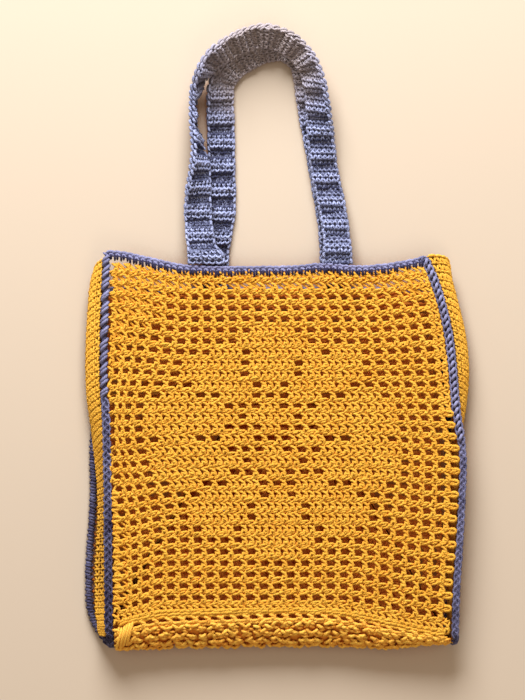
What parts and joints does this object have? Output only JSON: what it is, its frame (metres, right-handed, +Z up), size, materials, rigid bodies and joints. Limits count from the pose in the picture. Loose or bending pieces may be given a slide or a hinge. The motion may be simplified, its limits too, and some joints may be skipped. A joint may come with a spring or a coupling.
{
  "type": "crochet tote bag",
  "caption": "Lightweight crochet tote with an open mesh body, closely worked sides and bottom, contrasting corded seams and two short ribbed handles, lying flat on its back.",
  "frame": {"origin": "on the surface that the bag lies on, below the middle of its bounding box", "axes": "+Y from the bottom of the bag towards its mouth and handles, +X to the right seen from above, +Z up from the back panel to the front panel"},
  "size_m": [0.3674, 0.6016, 0.0391],
  "materials": {
    "mustard_mesh": "matte plied cotton yarn, open filet crochet",
    "mustard_solid": "matte plied cotton yarn, close crochet",
    "blue_seam": "matte plied cotton yarn, corded crochet",
    "blue_handle": "matte plied cotton yarn, ribbed crochet"
  },
  "bodies": {
    "root": {"front_panel": "mustard_mesh", "back_panel": "mustard_mesh", "bottom_panel": "mustard_solid", "left_gusset": "mustard_solid", "right_gusset": "mustard_solid", "left_seam": "blue_seam", "right_seam": "blue_seam", "front_top_edging": "blue_seam", "back_top_edging": "blue_seam", "front_handle": "blue_handle", "back_handle": "blue_handle"}
  },
  "joints": []
}
